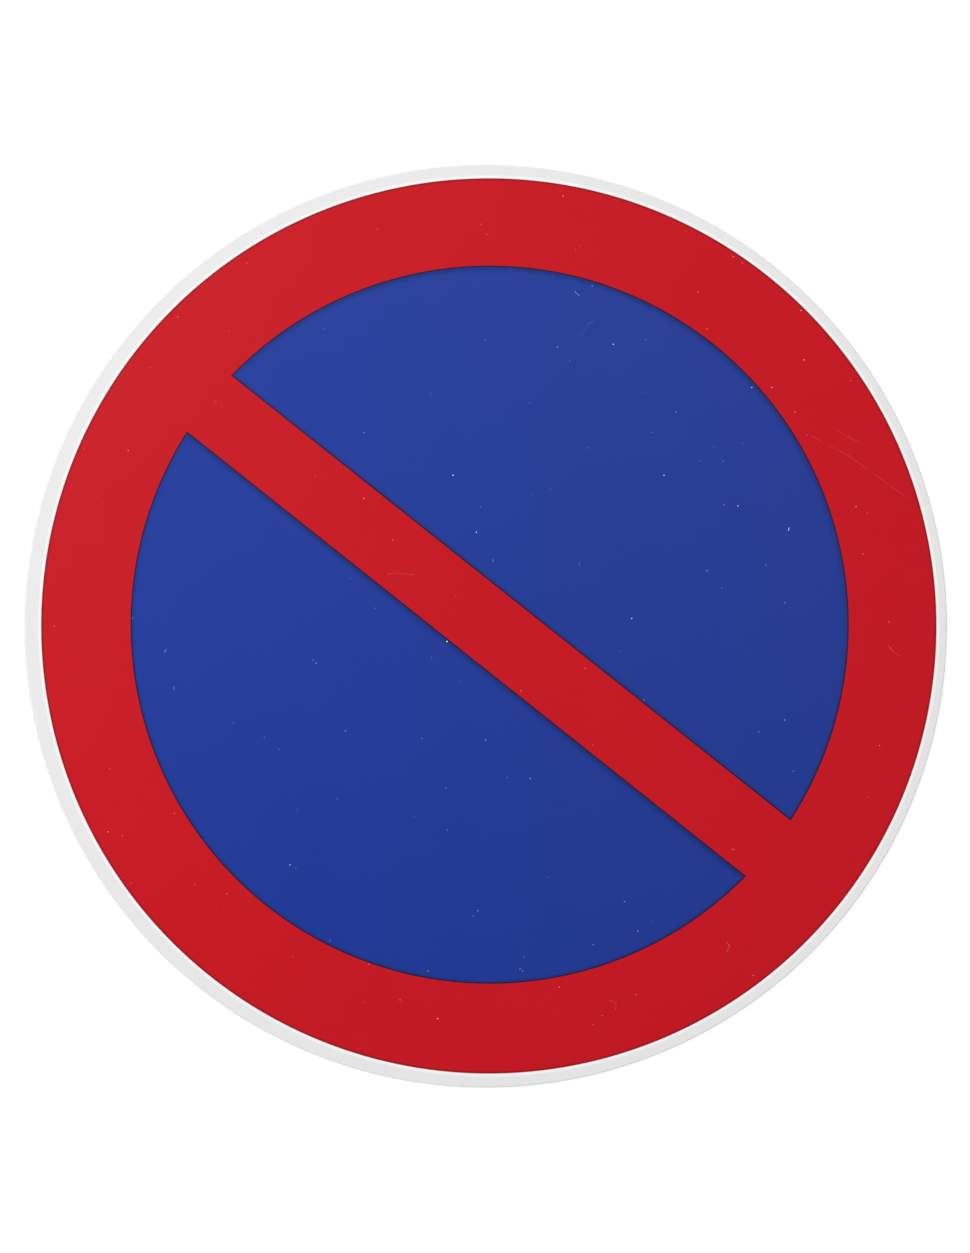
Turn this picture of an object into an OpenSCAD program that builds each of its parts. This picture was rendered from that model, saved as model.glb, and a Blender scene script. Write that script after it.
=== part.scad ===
// Round parking sign: a rigid plastic plate, screen-printed on its face.
// The plate lies face up, with the origin at the centre of its back face.
// +Z comes out of the face, and +Y is up as the sign is seen.

/* [Plate] */
// Diameter of the plate
plate_d = 300; // [180:1:450]
// Thickness of the plastic sheet
plate_t = 1.5; // [1:0.1:4]
// Radius that the cutting die rolls onto the edge of the face
face_roll = 0.5; // [0.2:0.05:0.7]
// Width of the scraped corner round the back
back_scrape = 0.1; // [0.05:0.01:0.2]

/* [Red print] */
// White margin between the edge of the plate and the red ring
margin_w = 4.6; // [3:0.1:12]
// Width of the red ring
ring_w = 29.15; // [15:0.05:45]
// Width of the red bar
bar_w = 23.9; // [10:0.1:40]
// Fall of the bar below the horizontal, from upper left to lower right
bar_angle = 38.5; // [0:0.5:90]

/* [Blue print] */
// Width by which the blue coat laps over the red one
lap_w = 0.4; // [0.2:0.05:1]
// Run of blue that stands level with the lap beside the red edge
lap_run = 0.2; // [0.1:0.05:0.5]

/* [Ink] */
// Thickness of one coat of ink
ink_t = 0.03; // [0.02:0.005:0.1]

/* [Registration] */
// Shift of the whole print to the right of the plate's centre
print_right = 1.07; // [-1.5:0.01:1.5]
// Shift of the whole print upwards
print_up = 0.05; // [-1.5:0.01:1.5]
// Shift of the ring's opening to the right of the ring's centre
opening_right = 0.28; // [-1:0.01:1]
// Shift of the ring's opening upwards
opening_up = 0.42; // [-1:0.01:1]

/* [Hidden] */
$fn = 180;
white_plastic = "#eaebea";
red_ink = "#c72128";
blue_ink = "#2b4098";
plate_r = plate_d / 2;
face_r = plate_r - face_roll;
ring_r = plate_r - margin_w;
opening_r = ring_r - ring_w;

// Half section of the plate, with its back on the X axis
module plate_section() {
    polygon([
        [0, 0],
        [plate_r - back_scrape, 0],
        [plate_r, back_scrape],
        [plate_r, plate_t - face_roll],
        [face_r, plate_t],
        [0, plate_t]
    ]);
    translate([face_r, plate_t - face_roll]) circle(face_roll);
}

// Die-cut plate
module plate() {
    color(white_plastic) rotate_extrude() plate_section();
}

// The ring's opening on both sides of the bar, grown outwards by a width
module opening_halves(grown = 0) {
    difference() {
        translate([opening_right, opening_up]) circle(opening_r + grown);
        rotate(-bar_angle) square([2 * ring_r, bar_w - 2 * grown], center = true);
    }
}

// First coat, laid flat on the plate and centred on the ring
module red_coat() {
    linear_extrude(ink_t) {
        difference() {
            circle(ring_r);
            opening_halves();
        }
    }
}

// Second coat, which fills the opening and climbs over the red edge by the lap
module blue_coat() {
    difference() {
        linear_extrude(2 * ink_t) opening_halves(lap_w);
        translate([0, 0, ink_t]) linear_extrude(2 * ink_t) opening_halves(-lap_run);
        red_coat();
    }
}

// Puts a coat of ink on the face, where the printer laid it
module on_face() {
    translate([print_right, print_up, plate_t]) children();
}

// Red ring and its diagonal bar, printed in one pass
module red_ring_and_bar() {
    color(red_ink) on_face() red_coat();
}

// Blue fields above and below the bar
module blue_fields() {
    color(blue_ink) on_face() blue_coat();
}

plate();
red_ring_and_bar();
blue_fields();
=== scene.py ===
"""Round parking sign: a die-cut sheet of white plastic with a screen-printed red and blue face.

The sign lies on its back with its face up. Lengths are in metres, and most are written in
millimetres times MM. The finishes and the places of marks on the face are in millimetres.
"""

import math

import bpy
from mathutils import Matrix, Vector


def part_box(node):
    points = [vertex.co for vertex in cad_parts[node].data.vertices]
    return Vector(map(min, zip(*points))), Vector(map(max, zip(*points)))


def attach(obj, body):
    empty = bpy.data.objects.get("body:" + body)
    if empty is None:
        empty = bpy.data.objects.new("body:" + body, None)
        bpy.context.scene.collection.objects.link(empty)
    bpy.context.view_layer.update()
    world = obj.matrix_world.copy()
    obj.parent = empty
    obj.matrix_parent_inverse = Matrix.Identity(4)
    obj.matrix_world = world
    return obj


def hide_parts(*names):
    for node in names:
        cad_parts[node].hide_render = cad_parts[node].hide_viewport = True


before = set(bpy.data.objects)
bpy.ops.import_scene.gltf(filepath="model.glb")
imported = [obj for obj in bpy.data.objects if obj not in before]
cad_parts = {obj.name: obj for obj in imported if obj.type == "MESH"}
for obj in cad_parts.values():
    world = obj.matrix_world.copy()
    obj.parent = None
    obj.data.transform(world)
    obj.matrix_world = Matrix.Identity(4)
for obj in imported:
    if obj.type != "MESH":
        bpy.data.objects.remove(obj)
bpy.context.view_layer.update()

bl_info = {
    "name": "Parking sign",
    "version": (1, 0, 0),
    "blender": (4, 5, 0),
    "location": "View3D > Sidebar > Sign",
    "description": "Builds a round printed parking sign plate and the studio it is shown in",
    "category": "Add Mesh",
}

MM = 0.001
BODY = "root"
BAKE_MAP = "OFBake"

# Sizes that follow from the frame
plate_low, plate_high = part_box("plate")
_, red_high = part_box("red_ring_and_bar")
plate_reach = min(-plate_low.x, plate_high.x, -plate_low.y, plate_high.y)
ink_thickness = red_high.z - plate_high.z

# Fineness of the meshes
ROUND_STEPS = 480
ROLL_STEPS = 8
ARC_STEPS = 240
CHORD_STEPS = 48
FLECK_SIDES = 9
HAIR_SIDES = 6
SHARP_ANGLE = math.radians(30)
MERGE_GAP = 0.001 * MM

# Flat run beside each end of the face roll, which keeps the roll's shading crisp
HOLDING_RUN = 0.08 * MM

# Run of the slope up to the top of the lap, and where the points down the bank lie, in widths of the bank
LAP_SLOPE = 0.03 * MM
BANK_STEPS = (0.3, 0.6, 0.9, 1.3, 1.8, 2.5)

# Least width and top radius of a fleck as shares of its length, and how far and how finely its edge is torn
FLECK_NARROWEST = 0.75
FLECK_TOP = 0.36
RAGGED = 0.05 * MM
RAGGED_PER_METRE = 9000.0

# Spacing of a hair's sections, and its height as a share of its width
HAIR_STEP = 0.3 * MM
HAIR_FLATNESS = 0.45

# Share of the bake map that a round face fills, and the reach and place of a hidden face's small copy
MAP_FILL = 0.98
COPY_REACH = 0.08
COPY_PLACE = 0.085

# A face looks up or down when its normal rises or falls by more than this
UPRIGHT = 0.5


def length(name, description, default):
    """A length property in metres"""
    return bpy.props.FloatProperty(
        name=name, description=description, default=default, unit="LENGTH", precision=6
    )


def factor(name, description, default):
    """A share from 0 to 1"""
    return bpy.props.FloatProperty(
        name=name, description=description, default=default, min=0, max=1, subtype="FACTOR"
    )


def angle(name, description, degrees):
    """An angle property, which Blender keeps in radians"""
    return bpy.props.FloatProperty(
        name=name, description=description, default=math.radians(degrees), unit="ROTATION"
    )


def count(name, description, default):
    """A whole number"""
    return bpy.props.IntProperty(name=name, description=description, default=default, min=0)


def colour(name, description, default):
    """A colour in linear light"""
    return bpy.props.FloatVectorProperty(
        name=name, description=description, default=default, size=3, min=0, max=1, subtype="COLOR"
    )


class SheetSettings(bpy.types.PropertyGroup):
    """The die-cut plastic sheet"""

    radius: length("Radius", "From the centre to the cut edge", plate_reach)
    thickness: length("Thickness", "Gauge of the sheet", plate_high.z)
    roll: length("Face roll", "Radius that the die rolls onto the face's edge", 0.5 * MM)
    scrape: length("Back scrape", "Width of the scraped corner round the back", 0.1 * MM)
    hidden: length("Hidden reach", "Reach of the bare face that the ink hides", 143 * MM)
    white: colour("Plastic", "Colour of the bare plastic", (0.84, 0.845, 0.842))


class PrintSettings(bpy.types.PropertyGroup):
    """The two coats of screen ink"""

    ring_radius: length("Ring radius", "Outer reach of the red ring", 145.4 * MM)
    opening_radius: length("Opening radius", "Reach of the ring's opening", 116.25 * MM)
    bar_width: length("Bar width", "Width of the red bar", 23.9 * MM)
    bar_fall: angle("Bar fall", "Fall of the bar to the lower right", 38.5)
    lap: length("Lap", "Width by which blue covers the edge of red", 0.4 * MM)
    lap_run: length("Lap run", "Run of blue that stands level with the lap", 0.2 * MM)
    ink: length("Ink thickness", "Thickness of one dry coat", ink_thickness)
    ridge: length("Ridge", "Height of the lap over the plate's face", 0.048 * MM)
    bank: length("Bank", "Width over which the blue coat falls from the ridge", 1.2 * MM)
    centre: bpy.props.FloatVectorProperty(
        name="Centre", description="Centre of the ring, right and up", default=(1.07 * MM, 0.05 * MM),
        size=2, unit="LENGTH", precision=6
    )
    opening_shift: bpy.props.FloatVectorProperty(
        name="Opening shift", description="Shift of the opening from the ring's centre",
        default=(0.28 * MM, 0.42 * MM), size=2, unit="LENGTH", precision=6
    )
    red: colour("Red", "Colour of the red coat at the upper left", (0.612, 0.002, 0.0105))
    blue: colour("Blue", "Colour of the blue coat at the upper left", (0.0083, 0.0433, 0.359))
    haze: colour("Haze", "Milky blue that the blue coat leans to at the upper right", (0.055, 0.085, 0.36))
    haze_share: factor("Haze share", "Share of haze at the upper right edge, none at the lower left", 0.2)
    lapped: colour("Lap colour", "Colour of blue over red", (0.0194, 0.008, 0.0296))
    red_painted_shade: factor("Red painted shade", "Light that red loses from upper left to lower right", 0.05)
    blue_painted_shade: factor("Blue painted shade", "Light that blue loses from upper left to lower right", 0.18)


class DustSettings(bpy.types.PropertyGroup):
    """Flecks of dust and lint that cling to the ink"""

    scattered: count("Scattered flecks", "Flecks besides the large ones", 90)
    seed: count("Seed", "Start of the random scatter", 11)
    reach: length("Reach", "How far from the centre dust lies", 143 * MM)
    smallest: length("Smallest", "Size of the smallest scattered fleck", 0.16 * MM)
    largest: length("Largest", "Size of the largest scattered fleck", 0.24 * MM)
    height: length("Height", "Thickness of a fleck", 0.028 * MM)
    lint: colour("Lint", "Colour of dust and lint", (0.88, 0.89, 0.90))


class StudioSettings(bpy.types.PropertyGroup):
    """Light, floor and camera"""

    light_turn: angle("Light turn", "Where the soft box stands, from the right hand side", 145)
    light_rise: angle("Light rise", "Height of the soft box above the horizon", 50)
    light_far: length("Light distance", "From the sign to the soft box", 2.9)
    light_side: length("Light side", "Side of the square soft box", 1.4)
    light_share: factor("Light share", "Level of the soft box at the sign", 0.5)
    fill_share: factor("Fill share", "Level of the even light from all round", 0.5)
    ceiling: factor("Ceiling", "Brightness of the ceiling in reflections, on its darker side", 0.005)
    ceiling_glow: factor("Ceiling glow", "What the ceiling gains towards its lighter side", 0.2)
    ceiling_turn: angle("Ceiling turn", "Where the ceiling is lighter, from the right hand side", 30)
    camera_rise: length("Camera height", "From the sign's face to the lens", 961 * MM)
    camera_right: length("Aim right", "Point that the camera looks at, right of the centre", -0.16 * MM)
    camera_up: length("Aim up", "Point that the camera looks at, upwards from the centre", -0.13 * MM)
    lens: bpy.props.FloatProperty(name="Lens", description="Focal length", default=85, unit="CAMERA")


class Value:
    """A socket of a node tree. Arithmetic on it adds Math nodes to its tree."""

    def __init__(self, graph, socket):
        self.graph = graph
        self.socket = socket

    def __add__(self, other):
        return self.graph.math("ADD", self, other)

    def __radd__(self, other):
        return self.graph.math("ADD", other, self)

    def __sub__(self, other):
        return self.graph.math("SUBTRACT", self, other)

    def __rsub__(self, other):
        return self.graph.math("SUBTRACT", other, self)

    def __mul__(self, other):
        return self.graph.math("MULTIPLY", self, other)

    def __rmul__(self, other):
        return self.graph.math("MULTIPLY", other, self)

    def __truediv__(self, other):
        return self.graph.math("DIVIDE", self, other)

    def __rtruediv__(self, other):
        return self.graph.math("DIVIDE", other, self)

    def __neg__(self):
        return self.graph.math("MULTIPLY", self, -1)


class Graph:
    """Adds nodes to one shader or geometry tree."""

    def __init__(self, tree):
        self.tree = tree

    def fill(self, socket, value):
        """Sets or links one socket. A list holds several links."""
        if isinstance(value, list):
            for each in value:
                self.fill(socket, each)
        elif isinstance(value, Value):
            self.tree.links.new(value.socket, socket)
        else:
            socket.default_value = value

    def node(self, kind, settings=None, inputs=None, outputs=(0,)):
        """Adds a node: its settings first, then its sockets. Returns the outputs that are asked for.

        The setting named choices is the number of items that an index switch picks from.
        """
        made = self.tree.nodes.new(kind)
        for name, value in (settings or {}).items():
            if name == "choices":
                for _ in range(value - len(made.index_switch_items)):
                    made.index_switch_items.new()
            else:
                setattr(made, name, value)
        for name, value in (inputs or {}).items():
            self.fill(made.inputs[name], value)
        found = [Value(self, made.outputs[name]) for name in outputs]
        return found[0] if len(found) == 1 else found

    def math(self, operation, *terms):
        """One Math node"""
        return self.node("ShaderNodeMath", {"operation": operation}, dict(enumerate(terms)))

    def vector(self, operation, *terms, scale=None):
        """One Vector Math node"""
        inputs = dict(enumerate(terms))
        if scale is not None:
            inputs["Scale"] = scale
        return self.node("ShaderNodeVectorMath", {"operation": operation}, inputs)

    def join(self, x, y, z=0.0):
        """A vector from three numbers"""
        return self.node("ShaderNodeCombineXYZ", inputs={"X": x, "Y": y, "Z": z})

    def split(self, vector):
        """The three numbers of a vector"""
        return self.node("ShaderNodeSeparateXYZ", inputs={"Vector": vector}, outputs=("X", "Y", "Z"))

    def ramp(self, value, low, high):
        """A soft step from 0 at low to 1 at high"""
        return self.node(
            "ShaderNodeMapRange",
            {"interpolation_type": "SMOOTHSTEP"},
            {"Value": value, "From Min": low, "From Max": high},
        )

    def tint(self, share, base, other):
        """Base mixed with another colour by a share"""
        # A Mix node has its colours at inputs 6 and 7 and at output 2
        return self.node(
            "ShaderNodeMix",
            {"data_type": "RGBA"},
            {0: share, 6: opaque(base), 7: opaque(other)},
            outputs=(2,),
        )

    def dim(self, tone, level):
        """A colour times a level that changes over the surface"""
        return self.vector("SCALE", tone, scale=level)

    def noise(self, place, scale, detail=2.0, roughness=0.5):
        """Noise with a mean of a half. The place is in millimetres, so the scale is per millimetre."""
        return self.node(
            "ShaderNodeTexNoise",
            inputs={"Vector": place, "Scale": scale, "Detail": detail, "Roughness": roughness},
        )

    def pick(self, index, numbers):
        """The number that stands at an index of a list"""
        inputs = {"Index": index}
        inputs.update({place + 1: number for place, number in enumerate(numbers)})
        return self.node(
            "GeometryNodeIndexSwitch", {"data_type": "FLOAT", "choices": len(numbers)}, inputs
        )

    def chance(self, low, high, seed):
        """A random number for each point"""
        # A Random Value node has its plain numbers at inputs 2 and 3 and at output 1
        return self.node(
            "FunctionNodeRandomValue", {"data_type": "FLOAT"}, {2: low, 3: high, "Seed": seed}, outputs=(1,)
        )


def opaque(tone):
    """A colour with full alpha, or a linked colour as it is"""
    return tone if isinstance(tone, Value) else (*tone, 1.0)


# Shape trees

def shape_tree(name, sizes):
    """Starts a Geometry Nodes tree with a named input for each size. Returns its graph and its inputs."""
    tree = bpy.data.node_groups.new(name, "GeometryNodeTree")
    tree.interface.new_socket("Geometry", in_out="INPUT", socket_type="NodeSocketGeometry")
    tree.interface.new_socket("Geometry", in_out="OUTPUT", socket_type="NodeSocketGeometry")
    for label, size in sizes.items():
        kind = "NodeSocketInt" if isinstance(size, int) else "NodeSocketFloat"
        tree.interface.new_socket(label, in_out="INPUT", socket_type=kind)
    graph = Graph(tree)
    inlet = tree.nodes.new("NodeGroupInput")
    return graph, {socket.name: Value(graph, socket) for socket in inlet.outputs if socket.name}


def close_tree(graph, shape, finish):
    """Ends a tree in real geometry with its finish"""
    real = graph.node("GeometryNodeRealizeInstances", inputs={"Geometry": shape})
    coated = graph.node("GeometryNodeSetMaterial", inputs={"Geometry": real, "Material": finish})
    outlet = graph.tree.nodes.new("NodeGroupOutput")
    graph.fill(outlet.inputs["Geometry"], coated)
    return graph.tree


def made_by(tree, name, sizes, base=None):
    """Runs a shape tree once and keeps the result as a plain mesh with one finish"""
    piece = bpy.data.objects.new(name, base or bpy.data.meshes.new(name))
    bpy.context.scene.collection.objects.link(piece)
    modifier = piece.modifiers.new("shape", "NODES")
    modifier.node_group = tree
    for socket in tree.interface.items_tree:
        if socket.name in sizes:
            modifier[socket.identifier] = sizes[socket.name]
    depsgraph = bpy.context.evaluated_depsgraph_get()
    mesh = bpy.data.meshes.new_from_object(
        piece.evaluated_get(depsgraph), preserve_all_data_layers=True, depsgraph=depsgraph
    )
    # Mesh primitives leave an empty slot before the finish
    finish = next(each for each in mesh.materials if each)
    mesh.materials.clear()
    mesh.materials.append(finish)
    piece.modifiers.clear()
    piece.data = mesh
    mesh.name = name
    mesh.shade_smooth()
    mesh.set_sharp_from_angle(angle=SHARP_ANGLE)
    return piece


def grid(graph, columns, rows):
    """A sheet of points to bend: its mesh, and each point's column and row"""
    mesh = graph.node("GeometryNodeMeshGrid", inputs={"Vertices X": columns, "Vertices Y": rows})
    index = graph.node("GeometryNodeInputIndex")
    column = graph.math("FLOOR", index / rows)
    return mesh, column, index - column * rows


def placed(graph, mesh, x, y, z):
    """The mesh with its points moved to a place and its doubles merged"""
    moved = graph.node(
        "GeometryNodeSetPosition", inputs={"Geometry": mesh, "Position": graph.join(x, y, z)}
    )
    return graph.node("GeometryNodeMergeByDistance", inputs={"Geometry": moved, "Distance": MERGE_GAP})


def plate_tree(sizes, finish):
    """The sheet's half section, swept once round from the middle of its back to the middle of its face"""
    graph, given = shape_tree("sheet shape", sizes)
    radius, thickness = given["Radius"], given["Thickness"]
    roll, scrape, hold = given["Face roll"], given["Back scrape"], given["Holding run"]
    section = [(0, 0), (radius - scrape, 0), (radius, scrape), (radius, thickness - roll - hold)]
    for step in range(ROLL_STEPS + 1):
        turn = math.radians(90) * step / ROLL_STEPS
        section.append(
            (radius - roll + roll * math.cos(turn), thickness - roll + roll * math.sin(turn))
        )
    section += [(radius - roll - hold, thickness), (given["Hidden reach"], thickness), (0, thickness)]
    mesh, column, row = grid(graph, ROUND_STEPS + 1, len(section))
    reach = graph.pick(row, [point[0] for point in section])
    height = graph.pick(row, [point[1] for point in section])
    turned = column * (math.tau / ROUND_STEPS)
    swept = placed(
        graph, mesh, reach * graph.math("COSINE", turned), reach * graph.math("SINE", turned), height
    )
    return close_tree(graph, swept, finish)


def print_sizes(settings):
    """The sizes that both coats of ink share, by the names of their inputs"""
    return {
        "Ring radius": settings.ring_radius,
        "Opening radius": settings.opening_radius,
        "Bar half width": settings.bar_width / 2,
        "Bar fall": settings.bar_fall,
        "Centre right": settings.centre[0],
        "Centre up": settings.centre[1],
        "Opening right": settings.opening_shift[0],
        "Opening up": settings.opening_shift[1],
        "Face height": plate_high.z,
        "Ink": settings.ink,
    }


def opening_half(graph, given, side, grown=0.0):
    """One half of the ring's opening, above (1) or below (-1) the bar and grown by a width.

    Returns its radius, the direction of its middle, half of its arc, and the bar's distance from its centre.
    """
    slope = given["Bar fall"]
    offset = given["Opening right"] * graph.math("SINE", slope)
    offset += given["Opening up"] * graph.math("COSINE", slope)
    radius = given["Opening radius"] + grown
    away = given["Bar half width"] - grown - side * offset
    spread = graph.math("ARCCOSINE", away / radius)
    middle = math.radians(90 if side > 0 else 270) - slope
    return radius, middle, spread, away


def red_tree(sizes, finish):
    """The ring and its bar: a filled circle without the two halves of the opening, one coat thick"""
    graph, given = shape_tree("red coat shape", sizes)
    ring = graph.node(
        "GeometryNodeCurvePrimitiveCircle",
        {"mode": "RADIUS"},
        {"Resolution": ROUND_STEPS, "Radius": given["Ring radius"]},
    )
    outlines = [ring]
    for side in (1, -1):
        radius, middle, spread, _ = opening_half(graph, given, side)
        arc = graph.node(
            "GeometryNodeCurveArc",
            {"mode": "RADIUS"},
            {
                "Resolution": ARC_STEPS + 1,
                "Radius": radius,
                "Start Angle": middle - spread,
                "Sweep Angle": spread * 2,
            },
        )
        closed = graph.node("GeometryNodeSetSplineCyclic", inputs={"Geometry": arc, "Cyclic": True})
        shift = graph.join(given["Opening right"], given["Opening up"])
        outlines.append(
            graph.node("GeometryNodeTransform", inputs={"Geometry": closed, "Translation": shift})
        )
    joined = graph.node("GeometryNodeJoinGeometry", inputs={"Geometry": outlines})
    flat = graph.node("GeometryNodeFillCurve", inputs={"Curve": joined})
    upwards = graph.join(0.0, 0.0, 1.0)
    raised = graph.node(
        "GeometryNodeExtrudeMesh",
        {"mode": "FACES"},
        {"Mesh": flat, "Offset": upwards, "Offset Scale": given["Ink"], "Individual": False},
    )
    base = graph.node("GeometryNodeFlipFaces", inputs={"Mesh": flat})
    coat = graph.node("GeometryNodeJoinGeometry", inputs={"Geometry": [raised, base]})
    sealed = graph.node("GeometryNodeMergeByDistance", inputs={"Geometry": coat, "Distance": MERGE_GAP})
    centre = graph.join(given["Centre right"], given["Centre up"], given["Face height"])
    laid = graph.node("GeometryNodeTransform", inputs={"Geometry": sealed, "Translation": centre})
    return close_tree(graph, laid, finish)


def blue_field(graph, given, side):
    """One blue field. It fills its half of the opening, climbs over the red edge and banks down inside it."""
    ink, ridge, lap, run, bank = (given[name] for name in ("Ink", "Ridge", "Lap", "Lap run", "Bank"))
    # The first point is the middle of the underside, and the last one the middle of the top
    section = [(0, 0), (0, 0), (0, ink), (lap, ink), (lap - LAP_SLOPE, ridge), (-run, ridge)]
    for step in BANK_STEPS:
        section.append((-run - bank * step, ink + (ridge - ink) * math.exp(-(step ** 2))))
    section.append((-run - bank * BANK_STEPS[-1], ink))
    mesh, column, row = grid(graph, ARC_STEPS + CHORD_STEPS + 1, len(section))
    grown = graph.pick(row, [point[0] for point in section])
    height = graph.pick(row, [point[1] for point in section])
    radius, middle, spread, away = opening_half(graph, given, side, grown)
    along_arc = graph.math("MINIMUM", column / ARC_STEPS, 1.0)
    along_bar = graph.math("MAXIMUM", (column - ARC_STEPS) / CHORD_STEPS, 0.0)
    turned = middle + spread * (2 * along_arc - 1)
    first = middle - spread
    at_pole = graph.math("COMPARE", row, 0.0, 0.5) + graph.math("COMPARE", row, len(section) - 1.0, 0.5)
    to_pole = (away + radius) / 2
    centres = (
        given["Centre right"] + given["Opening right"],
        given["Centre up"] + given["Opening up"],
    )
    place = []
    for centre, wave in zip(centres, ("COSINE", "SINE")):
        on_arc = radius * graph.math(wave, turned)
        at_start = radius * graph.math(wave, first)
        edge = on_arc + (at_start - on_arc) * along_bar
        pole = to_pole * graph.math(wave, middle)
        place.append(centre + edge + (pole - edge) * at_pole)
    return placed(graph, mesh, *place, given["Face height"] + height)


def blue_tree(sizes, finish):
    """Both blue fields, printed in one pass"""
    graph, given = shape_tree("blue coat shape", sizes)
    fields = [blue_field(graph, given, side) for side in (1, -1)]
    joined = graph.node("GeometryNodeJoinGeometry", inputs={"Geometry": fields})
    return close_tree(graph, joined, finish)


def attribute(graph, name):
    """A number that each point carries"""
    return graph.node("GeometryNodeInputNamedAttribute", {"data_type": "FLOAT"}, {"Name": name})


def fleck_tree(sizes, finish):
    """Flat crumbs of dust: the large ones at the points of the base mesh, the rest scattered by a seed"""
    graph, given = shape_tree("fleck shape", sizes)
    seed = given["Seed"]
    reach = given["Reach"] * graph.math("SQRT", graph.chance(0.0, 1.0, seed))
    turned = graph.chance(0.0, math.tau, seed + 1)
    scatter = graph.node(
        "GeometryNodePoints",
        inputs={
            "Count": given["Scattered"],
            "Position": graph.join(
                reach * graph.math("COSINE", turned), reach * graph.math("SINE", turned)
            ),
        },
    )
    size = graph.chance(given["Smallest"], given["Largest"], seed + 2)
    scatter = graph.node(
        "GeometryNodeStoreNamedAttribute",
        {"data_type": "FLOAT", "domain": "POINT"},
        {"Geometry": scatter, "Name": "long", "Value": size},
    )
    points = graph.node("GeometryNodeJoinGeometry", inputs={"Geometry": [given["Geometry"], scatter]})
    long = attribute(graph, "long")
    wide = long * graph.chance(FLECK_NARROWEST, 1.0, seed + 3)
    turn = graph.chance(0.0, math.pi, seed + 4)
    crumb = graph.node(
        "GeometryNodeMeshCone",
        inputs={"Vertices": FLECK_SIDES, "Radius Top": FLECK_TOP, "Radius Bottom": 0.5, "Depth": 1.0},
    )
    crumbs = graph.node(
        "GeometryNodeInstanceOnPoints",
        inputs={
            "Points": points,
            "Instance": crumb,
            "Rotation": graph.join(0.0, 0.0, turn),
            "Scale": graph.join(long, wide, given["Height"]),
        },
    )
    real = graph.node("GeometryNodeRealizeInstances", inputs={"Geometry": crumbs})
    place = graph.node("GeometryNodeInputPosition")
    ragged = graph.node(
        "ShaderNodeTexNoise",
        inputs={"Vector": place, "Scale": given["Ragged per metre"]},
        outputs=("Color",),
    )
    push = graph.vector("SCALE", graph.vector("SUBTRACT", ragged, (0.5, 0.5, 0.5)), scale=given["Ragged"])
    push_x, push_y, _ = graph.split(push)
    torn = graph.node(
        "GeometryNodeSetPosition", inputs={"Geometry": real, "Offset": graph.join(push_x, push_y)}
    )
    lifted = graph.node(
        "GeometryNodeTransform",
        inputs={"Geometry": torn, "Translation": graph.join(0.0, 0.0, given["Ground"])},
    )
    return close_tree(graph, lifted, finish)


def hair_tree(sizes, finish):
    """Lint hairs: smooth lines through the points of the base mesh, as tubes pressed flat on the ink"""
    graph, given = shape_tree("hair shape", sizes)
    wide = attribute(graph, "wide")
    line = graph.node("GeometryNodeMeshToCurve", inputs={"Mesh": given["Geometry"]})
    smooth = graph.node(
        "GeometryNodeCurveSplineType", {"spline_type": "CATMULL_ROM"}, {"Curve": line}
    )
    even = graph.node(
        "GeometryNodeResampleCurve", {"mode": "LENGTH"}, {"Curve": smooth, "Length": given["Step"]}
    )
    section = graph.node(
        "GeometryNodeCurvePrimitiveCircle", {"mode": "RADIUS"}, {"Resolution": HAIR_SIDES, "Radius": 0.5}
    )
    tube = graph.node(
        "GeometryNodeCurveToMesh",
        inputs={"Curve": even, "Profile Curve": section, "Scale": wide, "Fill Caps": True},
    )
    right, up, rise = graph.split(graph.node("GeometryNodeInputPosition"))
    squeeze = graph.math("MINIMUM", given["Flatness"], given["Height"] / wide)
    pressed = graph.node(
        "GeometryNodeSetPosition",
        inputs={
            "Geometry": tube,
            "Position": graph.join(right, up, given["Ground"] + (rise + wide / 2) * squeeze),
        },
    )
    return close_tree(graph, pressed, finish)


# Finishes

def new_finish(name, specular):
    """Starts a finish. Returns the material, its graph and its shader node."""
    material = bpy.data.materials.new(name)
    material.use_nodes = True
    graph = Graph(material.node_tree)
    shader = material.node_tree.nodes["Principled BSDF"]
    shader.inputs["Specular IOR Level"].default_value = specular
    return material, graph, shader


def coat_with(graph, shader, base, roughness, height=None, depth=0.0):
    """Joins a colour, a roughness and a bump of a depth in millimetres to the shader"""
    graph.fill(shader.inputs["Base Color"], base)
    graph.fill(shader.inputs["Roughness"], roughness)
    if height is not None:
        bump = graph.node("ShaderNodeBump", inputs={"Height": height, "Distance": depth * MM})
        graph.fill(shader.inputs["Normal"], bump)


def millimetres(graph):
    """The place on the piece in millimetres: the vector and its three numbers"""
    place = graph.node("ShaderNodeTexCoord", outputs=("Object",))
    place = graph.vector("SCALE", place, scale=1 / MM)
    return place, *graph.split(place)


def reach_from(graph, x, y, centre):
    """Distance in millimetres from a centre in the plane of the face"""
    right = x - centre[0]
    up = y - centre[1]
    return graph.math("SQRT", right * right + up * up)


def bell(graph, distance, width):
    """A bell that is 1 at a distance of 0 and fades over a width"""
    share = distance / width
    return graph.math("EXPONENT", -(share * share))


def heading(degrees):
    """A direction in the plane of the face, counted from the right towards the top"""
    turn = math.radians(degrees)
    return Vector((math.cos(turn), math.sin(turn)))


# The way along which painted shade grows on the inks and painted light on the face roll, the way in which the
# blue grows milky, and the way an edge lies above the blue
PAINTED_LIGHT_AXIS = heading(-33)
HAZE_WAY = heading(45)
SHADE_WAY = heading(75)


def diagonal(x, y, reach, way=PAINTED_LIGHT_AXIS):
    """How far a point lies from one side (0) to the other (1), by default from upper left to lower right"""
    return 0.5 + (x * way.x + y * way.y) / (2 * reach)


# Where the sheet's wall and the roll of its face begin and are whole, in millimetres in from the cut edge
WALL_BAND = (0.12, 0.02)
ROLL_BAND = (0.5, 0.15)
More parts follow.
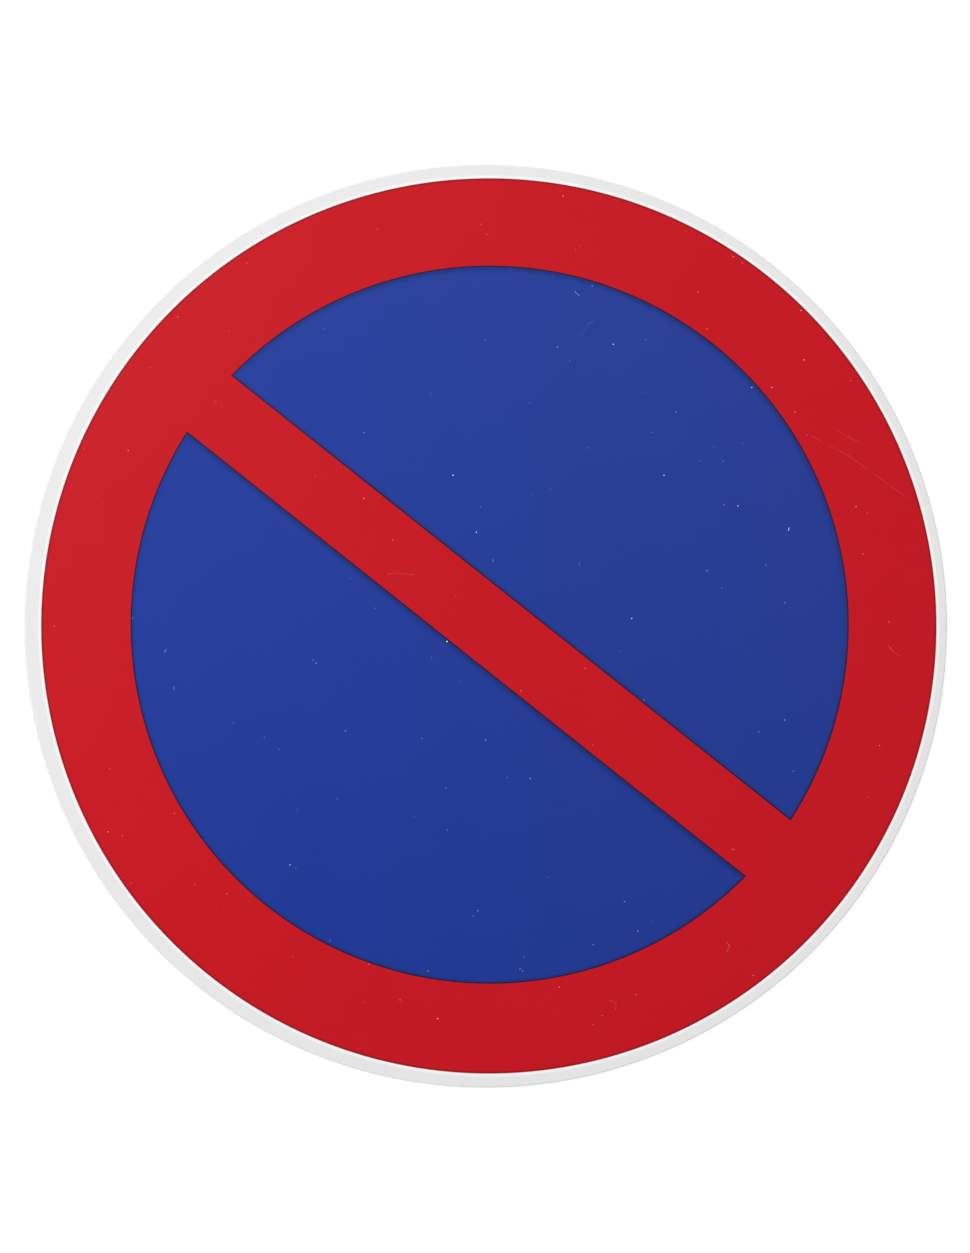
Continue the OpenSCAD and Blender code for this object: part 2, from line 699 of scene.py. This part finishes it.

# Painted light on the face roll: the painted shade it gets at the upper left, and the painted light that
# comes to it towards the lower right
ROLL_LIGHT = -0.035
ROLL_LIGHT_GAIN = 0.09

# Height over which the back's scuffs end, and the squeeze that draws the die lines out down the wall
BACK_HEIGHT = 0.06
DIE_LINE_SQUEEZE = 0.15

# A painted light line in the bare margin beside the ring: how far beyond the ring it runs, its width and its
# lightness
LIGHT_LINE_MIDDLE = 0.55
LIGHT_LINE_WIDTH = 0.35
LIGHT_LINE_GAIN = 0.17


def sheet_finish(settings, printed):
    """White plastic: flow marks, a painted light line beside the ring, painted light and shade on the face
    roll, die lines down the edge, a scuffed back
    """
    material, graph, shader = new_finish("sheet_plastic", specular=0.4)
    place, x, y, z = millimetres(graph)
    reach = reach_from(graph, x, y, (0, 0))
    edge = settings.radius / MM
    wall = graph.ramp(reach, *[edge - inwards for inwards in WALL_BAND])
    roll = graph.ramp(reach, *[edge - inwards for inwards in ROLL_BAND])
    # Painted shade on the roll at the upper left, turning to painted light towards the lower right
    painted_roll_light = roll * (ROLL_LIGHT + ROLL_LIGHT_GAIN * diagonal(x, y, edge))
    back = 1 - graph.ramp(z, 0.0, BACK_HEIGHT)
    centre = [part / MM for part in printed.centre]
    beside = reach_from(graph, x, y, centre) - printed.ring_radius / MM
    # A painted light line on the face just beyond the ring
    painted_light_line = bell(graph, beside - LIGHT_LINE_MIDDLE, LIGHT_LINE_WIDTH) * (1 - back)
    flow = graph.noise(place, scale=0.06, detail=3.0)
    grain = graph.noise(place, scale=3.5, detail=3.0)
    around = graph.math("ARCTAN2", y, x) * edge
    down_wall = graph.join(around, z * DIE_LINE_SQUEEZE)
    die_lines = graph.noise(down_wall, scale=6.0, detail=3.0, roughness=0.7)
    # The scuffs run along a slant and are narrow across it
    slanted = graph.join(x * 0.25 + y * 0.1, y * 2.2 - x * 0.5)
    rubbed = graph.noise(slanted, scale=0.5, detail=5.0, roughness=0.75)
    scuffs = graph.ramp(rubbed, 0.56, 0.7) * back
    # Flow and grain are the plastic's own; the roll's term and the line beside the ring are painted light and
    # shade
    shade = 0.985 + 0.02 * flow + 0.012 * grain + painted_roll_light + LIGHT_LINE_GAIN * painted_light_line
    shade = shade - wall * (0.05 + 0.12 * die_lines) - 0.05 * scuffs
    tone = graph.dim(settings.white, shade)
    roughness = 0.36 + 0.06 * grain + 0.12 * wall + 0.14 * scuffs
    height = grain * (1 - wall) + die_lines * wall * 4
    coat_with(graph, shader, tone, roughness, height, depth=0.004)
    return material


# Both inks: their specular level, and the depth of their skin in millimetres
INK_SPECULAR = 0.3
SKIN_DEPTH = 0.0015


def ink_surface(graph, place):
    """The skin of a dried screen ink: its shade, roughness and height"""
    cloud = graph.noise(place, scale=0.035, detail=3.0)
    patch = graph.noise(place, scale=0.4, detail=4.0, roughness=0.6)
    skin = graph.noise(place, scale=5.0)
    shade = 0.975 + 0.022 * cloud + 0.018 * patch + 0.01 * skin
    roughness = 0.26 + 0.04 * cloud + 0.05 * skin
    return shade, roughness, skin + patch * 2


def scratch(graph, x, y, start, end, width):
    """Share of a straight scratch between two points at a place on the face"""
    run = Vector(end) - Vector(start)
    right = x - start[0]
    up = y - start[1]
    along = graph.node(
        "ShaderNodeClamp", inputs={"Value": (right * run.x + up * run.y) / run.length_squared}
    )
    off_right = right - along * run.x
    off_up = up - along * run.y
    off = graph.math("SQRT", off_right * off_right + off_up * off_up)
    return 1 - graph.ramp(off, 0.0, width)


# Scratches in the red ring, each from one point to another in millimetres right and up
SCRATCHES = (
    ((106.0, 61.8), (117.9, 55.4)),
    ((117.9, 55.4), (137.4, 41.4)),
    ((113.4, 64.0), (122.8, 58.8)),
)
SCRATCH_WIDTH = 0.2
SCRATCH_TONE = (0.72, 0.16, 0.16)
SCRATCH_SHARE = 0.2

# The dark bead on the rim of the red coat: where it begins to fade and ends, in millimetres in, and its depth
BEAD_BAND = (0.3, 0.95)
BEAD_DEPTH = 0.38


def red_finish(settings):
    """Red screen ink: painted shade growing to the lower right, a dark bead round its rim, and a few
    scratches
    """
    material, graph, shader = new_finish("red_screen_ink", specular=INK_SPECULAR)
    place, x, y, _ = millimetres(graph)
    shade, roughness, height = ink_surface(graph, place)
    ring = settings.ring_radius / MM
    centre = [part / MM for part in settings.centre]
    inside = ring - reach_from(graph, x, y, centre)
    bead = 1 - graph.ramp(inside, *BEAD_BAND)
    # Painted shade that grows from upper left to lower right, and the dark bead
    shade = shade * (1 - settings.red_painted_shade * diagonal(x, y, ring)) * (1 - BEAD_DEPTH * bead)
    tone = graph.dim(settings.red, shade)
    scored = 0.0
    for start, end in SCRATCHES:
        scored = graph.math("MAXIMUM", scored, scratch(graph, x, y, start, end, SCRATCH_WIDTH))
    # A scratch is broken where the tip skipped
    scored = scored * graph.ramp(graph.noise(place, scale=0.35, detail=3.0), 0.3, 0.55)
    tone = graph.tint(scored * SCRATCH_SHARE, tone, SCRATCH_TONE)
    coat_with(graph, shader, tone, roughness + 0.1 * scored, height - 0.5 * scored, depth=SKIN_DEPTH)
    return material


# Blue is darker beside a red edge: a little at every edge, and more and wider where the edge lies towards the
# top
EDGE_WIDTH = 0.65
EDGE_DEPTH = 0.24
SHADE_WIDTH = 1.24
SHADE_DEPTH = 0.36

# How squarely the opening's edge faces the shade's way, at no shade and at full shade
SHADE_FACING = (-0.4, 1.1)

# Where the dark colour of the lap begins to fade and ends, in millimetres into the blue
LAP_BAND = (-0.03, 0.05)


def blue_finish(settings):
    """Blue screen ink: nearly black where it laps over red, painted shade growing to the lower right, and
    darker beside the red edges that lie towards the top
    """
    material, graph, shader = new_finish("blue_screen_ink", specular=INK_SPECULAR)
    place, x, y, _ = millimetres(graph)
    shade, roughness, height = ink_surface(graph, place)
    opening = settings.opening_radius / MM
    centre = [part / MM for part in settings.centre]
    middle = [(part + shift) / MM for part, shift in zip(settings.centre, settings.opening_shift)]
    reach = reach_from(graph, x, y, middle)
    from_ring = opening - reach
    across = Vector((math.sin(settings.bar_fall), math.cos(settings.bar_fall)))
    over_bar = (x - centre[0]) * across.x + (y - centre[1]) * across.y
    from_bar = graph.math("ABSOLUTE", over_bar) - settings.bar_width / 2 / MM
    facing = ((x - middle[0]) * SHADE_WAY.x + (y - middle[1]) * SHADE_WAY.y) / reach
    ring_shade = bell(graph, from_ring, SHADE_WIDTH) * graph.ramp(facing, *SHADE_FACING)
    bar_shade = bell(graph, from_bar, SHADE_WIDTH) * graph.math("LESS_THAN", over_bar, 0.0)
    nearest = graph.math("MINIMUM", from_ring, from_bar)
    # Darker blue beside the red edges, more and wider where the edge lies towards the top
    edge_darkening = graph.math(
        "MAXIMUM",
        SHADE_DEPTH * graph.math("MAXIMUM", ring_shade, bar_shade),
        EDGE_DEPTH * bell(graph, nearest, EDGE_WIDTH),
    )
    uneven = 0.7 + 0.6 * graph.noise(place, scale=0.5)
    # Painted shade that grows from upper left to lower right, and the darkening beside the red edges
    shade = shade * (1 - settings.blue_painted_shade * diagonal(x, y, opening)) * (1 - edge_darkening * uneven)
    haze = settings.haze_share * diagonal(x, y, opening, HAZE_WAY)
    tone = graph.dim(graph.tint(haze, settings.blue, settings.haze), shade)
    lapped = 1 - graph.ramp(nearest, *LAP_BAND)
    tone = graph.tint(lapped, tone, settings.lapped)
    coat_with(graph, shader, tone, roughness, height, depth=SKIN_DEPTH)
    return material


def lint_finish(name, tone):
    """Dust and lint: off-white, matt and a little uneven"""
    material, graph, shader = new_finish(name, specular=0.3)
    place, *_ = millimetres(graph)
    fibre = graph.noise(place, scale=12.0)
    coat_with(graph, shader, graph.dim(tone, 0.86 + 0.22 * fibre), 0.7 + 0.2 * fibre)
    return material


# Bake maps

def disc_map(centre, reach):
    """A map seen from above, with the hidden underside as a small copy in a corner"""

    def place(at, face):
        right = (at.x - centre[0]) / reach
        up = (at.y - centre[1]) / reach
        if face.normal.z < -UPRIGHT:
            return COPY_PLACE + right * COPY_REACH, COPY_PLACE + up * COPY_REACH
        return 0.5 + right * MAP_FILL / 2, 0.5 + up * MAP_FILL / 2

    return place


def sheet_map(settings):
    """A map of the sheet peeled open from the middle of its back, with the face under the ink in a corner"""
    radius, hidden = settings.radius, settings.hidden
    longest = settings.thickness + 2 * radius - hidden

    def place(at, face):
        if face.normal.z > UPRIGHT and face.center.xy.length < hidden:
            return COPY_PLACE + at.x / hidden * COPY_REACH, COPY_PLACE + at.y / hidden * COPY_REACH
        reach = at.xy.length
        run = reach + at.z if face.normal.z < -UPRIGHT else at.z + 2 * radius - reach
        share = run / longest * MAP_FILL / 2 / max(reach, MERGE_GAP)
        return 0.5 - at.x * share, 0.5 + at.y * share

    return place


def lay_map(piece, place):
    """Gives a piece the map that its finish is baked on. A corner's place follows from its point and face."""
    mesh = piece.data
    layer = mesh.uv_layers.new(name=BAKE_MAP)
    for face in mesh.polygons:
        for corner in face.loop_indices:
            at = mesh.vertices[mesh.loops[corner].vertex_index].co
            layer.data[corner].uv = place(at, face)


# Dust and lint

# Flecks that catch the eye, read off the photo to half a millimetre: right, up and size in millimetres
LARGE_FLECKS = (
    (-12.5, -5.0, 0.60),
    (41.5, 91.5, 0.36),
    (-3.0, 30.5, 0.42),
    (-10.5, 49.0, 0.40),
    (58.0, 49.0, 0.38),
    (47.5, 2.5, 0.38),
    (86.5, 77.5, 0.36),
    (82.0, 39.0, 0.36),
    (-15.5, -127.5, 0.36),
    (93.0, 77.5, 0.30),
    (-63.5, -77.5, 0.38),
    (-39.5, 41.5, 0.30),
    (33.5, 58.0, 0.28),
    (0.0, -37.0, 0.28),
    (-116.0, 57.0, 0.30),
    (103.5, 86.5, 0.30),
    (12.0, -112.0, 0.22),
    (-17.5, 75.5, 0.22),
    (104.5, 62.0, 0.22),
    (102.5, 102.5, 0.30),
    (-45.5, -34.0, 0.26),
    (-55.0, -12.0, 0.22),
    (49.5, -99.0, 0.30),
    (35.0, -103.5, 0.24),
    (-100.0, 100.5, 0.28),
    (69.0, 108.5, 0.26),
    (-56.0, -11.0, 0.22),
    (-2.5, -92.5, 0.26),
    (51.5, -24.0, 0.28),
    (12.5, -107.5, 0.20),
    (72.0, 96.5, 0.26),
    (100.5, 69.5, 0.24),
    (77.5, 39.5, 0.22),
    (72.0, 18.0, 0.26),
    (14.5, -49.5, 0.28),
    (11.5, -21.0, 0.24),
    (80.5, 120.0, 0.22),
    (83.5, 118.0, 0.20),
    (87.0, -113.5, 0.20),
    (38.0, -126.5, 0.22),
    (35.0, -129.5, 0.18),
    (-94.5, -84.0, 0.18),
    (-77.5, 118.0, 0.20),
    (-87.5, 73.0, 0.20),
)

# Hairs, curls and short streaks: width in millimetres, then points in millimetres right and up
HAIRS = (
    (0.060, (29.0, 108.7), (29.7, 108.0), (30.5, 107.3)),
    (0.012, (30.5, 93.7), (32.3, 96.3), (33.8, 98.4), (35.6, 98.9)),
    (0.012, (-32.0, 17.0), (-29.4, 17.2), (-26.1, 16.9), (-23.1, 16.7)),
    (0.014, (130.9, -6.3), (132.4, -8.1), (134.8, -9.9)),
    (0.022, (78.0, -102.5), (79.2, -103.9), (78.3, -105.9)),
    (0.012, (39.9, -121.7), (42.0, -122.2), (42.4, -123.8), (41.5, -125.4)),
    (0.160, (98.4, 31.0), (98.6, 32.0)),
    (0.060, (-104.2, -8.6), (-103.8, -7.6)),
    (0.045, (-101.3, -20.8), (-101.2, -19.6)),
    (0.050, (2.5, 20.8), (2.4, 21.7)),
    (0.045, (30.5, 19.6), (30.6, 20.6)),
)


def lines_mesh(name, lines):
    """A mesh of loose points and lines. A line is a list of points, each with its place and its numbers."""
    places, edges, numbers = [], [], {}
    for points in lines:
        start = len(places)
        for place, extra in points:
            places.append((place[0] * MM, place[1] * MM, 0))
            for key, value in extra.items():
                numbers.setdefault(key, []).append(value)
        edges += [(start + step, start + step + 1) for step in range(len(points) - 1)]
    mesh = bpy.data.meshes.new(name)
    mesh.from_pydata(places, edges, [])
    for key, values in numbers.items():
        mesh.attributes.new(key, "FLOAT", "POINT").data.foreach_set("value", values)
    return mesh


# Pieces

def register_piece(piece, slot, *nodes):
    """Hides the parts of model.glb that a piece stands for and attaches the piece to the body it moves with.
    The slot is not used.
    """
    if nodes:
        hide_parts(*nodes)
    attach(piece, BODY)


class SIGN_OT_sheet(bpy.types.Operator):
    """Cut the plastic sheet"""

    bl_idname = "sign.sheet"
    bl_label = "Cut the sheet"

    def execute(self, context):
        settings = context.scene.sign_sheet
        sizes = {
            "Radius": settings.radius,
            "Thickness": settings.thickness,
            "Face roll": settings.roll,
            "Back scrape": settings.scrape,
            "Holding run": HOLDING_RUN,
            "Hidden reach": settings.hidden,
        }
        plastic = sheet_finish(settings, context.scene.sign_print)
        piece = made_by(plate_tree(sizes, plastic), "cut_sheet", sizes)
        lay_map(piece, sheet_map(settings))
        register_piece(piece, "white_plastic", "plate")
        return {"FINISHED"}


class SIGN_OT_red(bpy.types.Operator):
    """Print the red ring and bar"""

    bl_idname = "sign.red"
    bl_label = "Print the red coat"

    def execute(self, context):
        settings = context.scene.sign_print
        sizes = print_sizes(settings)
        piece = made_by(red_tree(sizes, red_finish(settings)), "red_coat", sizes)
        lay_map(piece, disc_map(settings.centre, settings.ring_radius))
        register_piece(piece, "red_ink", "red_ring_and_bar")
        return {"FINISHED"}


class SIGN_OT_blue(bpy.types.Operator):
    """Print the two blue fields over the red edge"""

    bl_idname = "sign.blue"
    bl_label = "Print the blue coat"

    def execute(self, context):
        settings = context.scene.sign_print
        sizes = print_sizes(settings)
        sizes["Ridge"] = settings.ridge
        sizes["Lap"] = settings.lap
        sizes["Lap run"] = settings.lap_run
        sizes["Bank"] = settings.bank
        piece = made_by(blue_tree(sizes, blue_finish(settings)), "blue_coat", sizes)
        middle = [part + shift for part, shift in zip(settings.centre, settings.opening_shift)]
        lay_map(piece, disc_map(middle, settings.opening_radius + settings.lap))
        register_piece(piece, "blue_ink", "blue_fields")
        return {"FINISHED"}


class SIGN_OT_dust(bpy.types.Operator):
    """Scatter flecks of dust and lay hairs of lint on the ink"""

    bl_idname = "sign.dust"
    bl_label = "Add dust and lint"

    def execute(self, context):
        settings = context.scene.sign_dust
        ground = plate_high.z + context.scene.sign_print.ink
        flecks = [[((right, up), {"long": size * MM})] for right, up, size in LARGE_FLECKS]
        sizes = {
            "Scattered": settings.scattered,
            "Seed": settings.seed,
            "Reach": settings.reach,
            "Smallest": settings.smallest,
            "Largest": settings.largest,
            "Height": settings.height,
            "Ground": ground,
            "Ragged": RAGGED,
            "Ragged per metre": RAGGED_PER_METRE,
        }
        tree = fleck_tree(sizes, lint_finish("dust", settings.lint))
        piece = made_by(tree, "dust_flecks", sizes, lines_mesh("large_flecks", flecks))
        register_piece(piece, "white_plastic")
        hairs = [[(point, {"wide": wide * MM}) for point in points] for wide, *points in HAIRS]
        sizes = {
            "Step": HAIR_STEP,
            "Flatness": HAIR_FLATNESS,
            "Height": settings.height,
            "Ground": ground,
        }
        tree = hair_tree(sizes, lint_finish("lint", settings.lint))
        piece = made_by(tree, "lint_hairs", sizes, lines_mesh("hair_lines", hairs))
        register_piece(piece, "white_plastic")
        return {"FINISHED"}


# Studio

# The floor: its side in metres, how much light it scatters, its own glow, and what the glow gains far out
FLOOR_SIDE = 6.0
FLOOR_DIFFUSE = 0.12
FLOOR_GLOW = 0.9
FAR_GLOW = 0.06

# Where the far glow begins and is whole, in millimetres from the sign's centre
FAR_BAND = (300.0, 1200.0)

# In reflections: where the ceiling is darker and lighter across, and where the walls end and it begins
CEILING_BAND = (-0.2, 0.2)
WALL_TOP = (0.05, 0.5)


def stage_floor():
    """A pale floor that reads as white and keeps the sign's soft shadow"""
    mesh = bpy.data.meshes.new("floor")
    side = FLOOR_SIDE / 2
    corners = [(-side, -side, 0), (side, -side, 0), (side, side, 0), (-side, side, 0)]
    mesh.from_pydata(corners, [], [(0, 1, 2, 3)])
    floor = bpy.data.objects.new("floor", mesh)
    bpy.context.scene.collection.objects.link(floor)
    material, graph, shader = new_finish("floor_paint", specular=0.0)
    _, x, y, _ = millimetres(graph)
    glow = FLOOR_GLOW + FAR_GLOW * graph.ramp(reach_from(graph, x, y, (0, 0)), *FAR_BAND)
    shader.inputs["Base Color"].default_value = (FLOOR_DIFFUSE, FLOOR_DIFFUSE, FLOOR_DIFFUSE, 1)
    shader.inputs["Roughness"].default_value = 1.0
    shader.inputs["Emission Strength"].default_value = 1.0
    graph.fill(shader.inputs["Emission Color"], graph.join(glow, glow, glow))
    mesh.materials.append(material)


def stage_world(studio):
    """Even light from all round. The camera sees white, and a reflection white walls and a dim ceiling."""
    world = bpy.data.worlds.new("studio")
    world.use_nodes = True
    bpy.context.scene.world = world
    graph = Graph(world.node_tree)
    right, up, rise = graph.split(graph.node("ShaderNodeTexCoord", outputs=("Generated",)))
    lighter = right * math.cos(studio.ceiling_turn) + up * math.sin(studio.ceiling_turn)
    ceiling = studio.ceiling + studio.ceiling_glow * graph.ramp(lighter, *CEILING_BAND)
    room = 1 - (1 - ceiling) * graph.ramp(rise, *WALL_TOP)
    camera, glossy, clear = graph.node(
        "ShaderNodeLightPath", outputs=("Is Camera Ray", "Is Glossy Ray", "Is Transmission Ray")
    )
    mirrored = graph.math("MINIMUM", glossy + clear, 1.0)
    fill = studio.fill_share
    back = world.node_tree.nodes["Background"]
    back.inputs["Color"].default_value = (1, 1, 1, 1)
    graph.fill(back.inputs["Strength"], fill + (1 - fill) * camera + (room - fill) * mirrored)


def stage_light(studio):
    """A square soft box to the left and a little above, whose level at the sign is the share it is given"""
    lamp = bpy.data.lights.new("soft_box", "AREA")
    lamp.shape = "SQUARE"
    lamp.size = studio.light_side
    lamp.energy = studio.light_share * (math.pi * studio.light_far) ** 2 / math.sin(studio.light_rise)
    box = bpy.data.objects.new("soft_box", lamp)
    flat = math.cos(studio.light_rise)
    away = Vector(
        (flat * math.cos(studio.light_turn), flat * math.sin(studio.light_turn), math.sin(studio.light_rise))
    )
    box.location = away * studio.light_far
    box.rotation_euler = away.to_track_quat("Z", "Y").to_euler()
    box.visible_camera = False
    bpy.context.scene.collection.objects.link(box)


def stage_camera(studio):
    """A camera straight above the sign, with up in the picture along +Y"""
    lens = bpy.data.cameras.new("camera")
    lens.lens = studio.lens
    camera = bpy.data.objects.new("camera", lens)
    camera.location = (studio.camera_right, studio.camera_up, plate_high.z + studio.camera_rise)
    bpy.context.scene.collection.objects.link(camera)
    bpy.context.scene.camera = camera


class SIGN_OT_studio(bpy.types.Operator):
    """Set up the floor, the light and the camera"""

    bl_idname = "sign.studio"
    bl_label = "Set up the studio"

    def execute(self, context):
        studio = context.scene.sign_studio
        context.scene.view_settings.view_transform = "Standard"
        stage_floor()
        stage_world(studio)
        stage_light(studio)
        stage_camera(studio)
        return {"FINISHED"}


# Panel and registration

OPERATORS = (SIGN_OT_studio, SIGN_OT_sheet, SIGN_OT_red, SIGN_OT_blue, SIGN_OT_dust)

SETTINGS = {
    "sign_sheet": SheetSettings,
    "sign_print": PrintSettings,
    "sign_dust": DustSettings,
    "sign_studio": StudioSettings,
}


class SIGN_PT_parts(bpy.types.Panel):
    """Sizes, colours and steps of the parking sign"""

    bl_label = "Parking sign"
    bl_idname = "SIGN_PT_parts"
    bl_space_type = "VIEW_3D"
    bl_region_type = "UI"
    bl_category = "Sign"

    def draw(self, context):
        for name, group in SETTINGS.items():
            box = self.layout.box()
            for setting in group.__annotations__:
                box.prop(getattr(context.scene, name), setting)
        for step in OPERATORS:
            self.layout.operator(step.bl_idname)


CLASSES = (*SETTINGS.values(), *OPERATORS, SIGN_PT_parts)


def register():
    """Registers the classes and gives the scene its settings"""
    for each in CLASSES:
        bpy.utils.register_class(each)
    for name, group in SETTINGS.items():
        setattr(bpy.types.Scene, name, bpy.props.PointerProperty(type=group))


def unregister():
    """Takes the settings and the classes away again"""
    for name in SETTINGS:
        delattr(bpy.types.Scene, name)
    for each in reversed(CLASSES):
        bpy.utils.unregister_class(each)


def main():
    register()
    bpy.ops.sign.studio()
    bpy.ops.sign.sheet()
    bpy.ops.sign.red()
    bpy.ops.sign.blue()
    bpy.ops.sign.dust()


if __name__ == "__main__":
    main()
